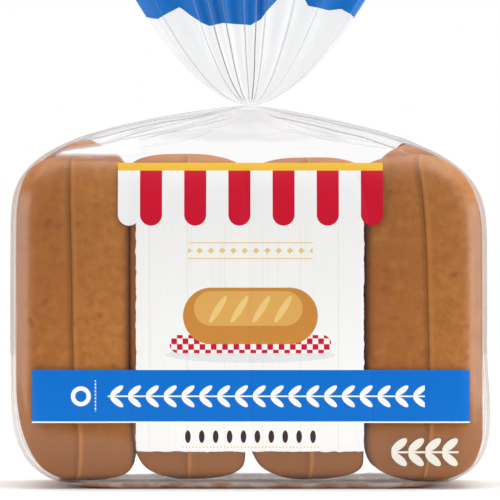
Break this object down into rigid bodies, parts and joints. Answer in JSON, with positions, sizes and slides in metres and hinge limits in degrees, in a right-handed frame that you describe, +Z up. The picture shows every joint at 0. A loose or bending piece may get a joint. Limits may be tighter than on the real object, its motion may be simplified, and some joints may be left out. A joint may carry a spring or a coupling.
{
  "type": "bag of hot dog buns",
  "caption": "Sealed clear film bag of top-sliced hot dog buns in two rows, standing on its flat bottom, gathered to a neck with a fluted tail above.",
  "frame": {"origin": "middle of the flat bottom that the bag stands on", "axes": "+Z up through the neck and the tail, -Y towards the printed front, +X to the right as seen from the front"},
  "size_m": [0.2224, 0.1084, 0.2534],
  "materials": {
    "filled_film": "clear glossy film lying on brown bun crust",
    "clear_film": "thin clear glossy film with opaque blue and white print",
    "bun_crust": "soft baked crust, matte and lightly freckled",
    "bun_crumb": "pale dry crumb"
  },
  "bodies": {
    "root": {"bag": "filled_film"}
  },
  "joints": []
}
